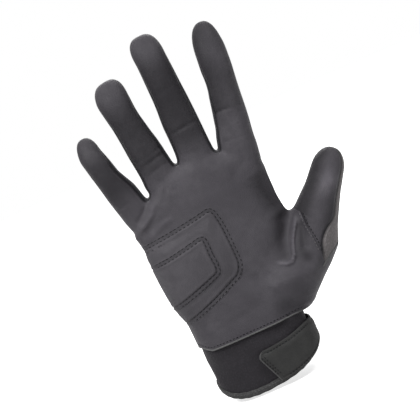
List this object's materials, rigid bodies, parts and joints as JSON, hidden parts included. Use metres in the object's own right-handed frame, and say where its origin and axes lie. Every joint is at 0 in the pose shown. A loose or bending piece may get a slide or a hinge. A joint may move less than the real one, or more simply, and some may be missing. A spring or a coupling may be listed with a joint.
{
  "type": "polo glove",
  "caption": "Right-hand riding glove with a leather palm, padded heel, stretch back, side strips between the fingers and a strapped cuff; fingers, thumb and strap move.",
  "frame": {"origin": "middle of the wrist opening, level with the lowest point of its hem", "axes": "+Z from the wrist to the fingertips, +Y out of the back of the hand, +X towards the thumb"},
  "size_m": [0.1517, 0.046, 0.2359],
  "materials": {
    "palm_leather": "soft semi-matt grain",
    "side_strip": "matt grain",
    "back_fabric": "fine matt stretch knit",
    "cuff_fabric": "smooth matt stretch fabric",
    "strap_leather": "matt grain",
    "hem_binding": "ribbed matt tape",
    "foam": "closed-cell foam, matt",
    "hook_and_loop": "looped pile"
  },
  "bodies": {
    "hand": {"palm": "palm_leather", "palm_edge": "palm_leather", "hand_back": "back_fabric", "thumb_root_front": "palm_leather", "thumb_root_back": "back_fabric", "fork_index_middle": "side_strip", "fork_middle_ring": "side_strip", "fork_ring_little": "side_strip", "heel_foam": "foam", "heel_cover": "palm_leather", "heel_patch": "palm_leather", "cuff_front": "cuff_fabric", "cuff_back": "cuff_fabric", "hem_binding": "hem_binding", "loop_patch": "hook_and_loop", "strap_sewn_end": "strap_leather"},
    "index_lower": {"index_lower_front": "palm_leather", "index_lower_back": "back_fabric", "index_lower_strip_outer_side": "side_strip"},
    "index_upper": {"index_upper_front": "palm_leather", "index_upper_back": "back_fabric", "index_upper_strip_outer_side": "side_strip"},
    "middle_lower": {"middle_lower_front": "palm_leather", "middle_lower_back": "back_fabric", "middle_lower_strip_outer_side": "side_strip", "middle_lower_strip_thumb_side": "side_strip"},
    "middle_upper": {"middle_upper_front": "palm_leather", "middle_upper_back": "back_fabric", "middle_upper_strip_outer_side": "side_strip", "middle_upper_strip_thumb_side": "side_strip"},
    "ring_lower": {"ring_lower_front": "palm_leather", "ring_lower_back": "back_fabric", "ring_lower_strip_outer_side": "side_strip", "ring_lower_strip_thumb_side": "side_strip"},
    "ring_upper": {"ring_upper_front": "palm_leather", "ring_upper_back": "back_fabric", "ring_upper_strip_outer_side": "side_strip", "ring_upper_strip_thumb_side": "side_strip"},
    "little_lower": {"little_lower_front": "palm_leather", "little_lower_back": "back_fabric", "little_lower_strip_thumb_side": "side_strip"},
    "little_upper": {"little_upper_front": "palm_leather", "little_upper_back": "back_fabric", "little_upper_strip_thumb_side": "side_strip"},
    "thumb_lower": {"thumb_lower_front": "palm_leather", "thumb_lower_back": "back_fabric"},
    "thumb_upper": {"thumb_upper_front": "palm_leather", "thumb_upper_back": "back_fabric"},
    "strap": {"strap": "strap_leather", "hook_patch": "hook_and_loop"}
  },
  "joints": [
    {"name": "index_base_bend", "type": "hinge", "parent": "hand", "child": "index_lower", "pos_m": [0.04108, -0.0102, 0.15688], "axis": [0.9943, 0, -0.1063], "range_deg": [0, 75]},
    {"name": "index_middle_bend", "type": "hinge", "parent": "index_lower", "child": "index_upper", "pos_m": [0.04448, -0.013, 0.1887], "axis": [0.9943, 0, -0.1063], "range_deg": [0, 85]},
    {"name": "middle_base_bend", "type": "hinge", "parent": "hand", "child": "middle_lower", "pos_m": [0.01154, -0.01052, 0.16325], "axis": [0.9999, 0, 0.0157], "range_deg": [0, 75]},
    {"name": "middle_middle_bend", "type": "hinge", "parent": "middle_lower", "child": "middle_upper", "pos_m": [0.01102, -0.01316, 0.19624], "axis": [0.9999, 0, 0.0157], "range_deg": [0, 85]},
    {"name": "ring_base_bend", "type": "hinge", "parent": "hand", "child": "ring_lower", "pos_m": [-0.01543, -0.00999, 0.1604], "axis": [0.9907, 0, 0.1357], "range_deg": [0, 75]},
    {"name": "ring_middle_bend", "type": "hinge", "parent": "ring_lower", "child": "ring_upper", "pos_m": [-0.01896, -0.01239, 0.18616], "axis": [0.9907, 0, 0.1357], "range_deg": [0, 85]},
    {"name": "little_base_bend", "type": "hinge", "parent": "hand", "child": "little_lower", "pos_m": [-0.04049, -0.00877, 0.14756], "axis": [0.9703, 0, 0.2419], "range_deg": [0, 75]},
    {"name": "little_middle_bend", "type": "hinge", "parent": "little_lower", "child": "little_upper", "pos_m": [-0.04557, -0.01119, 0.16793], "axis": [0.9703, 0, 0.2419], "range_deg": [0, 85]},
    {"name": "thumb_base_bend", "type": "hinge", "parent": "hand", "child": "thumb_lower", "pos_m": [0.05954, -0.01374, 0.09246], "axis": [0.611, -0.568, -0.5514], "range_deg": [0, 40]},
    {"name": "thumb_end_bend", "type": "hinge", "parent": "thumb_lower", "child": "thumb_upper", "pos_m": [0.07045, -0.01472, 0.10557], "axis": [0.611, -0.568, -0.5514], "range_deg": [0, 60]},
    {"name": "strap_peel", "type": "hinge", "parent": "hand", "child": "strap", "pos_m": [0.038, 0, 0.02], "axis": [0, 0, 1], "range_deg": [0, 120]}
  ]
}
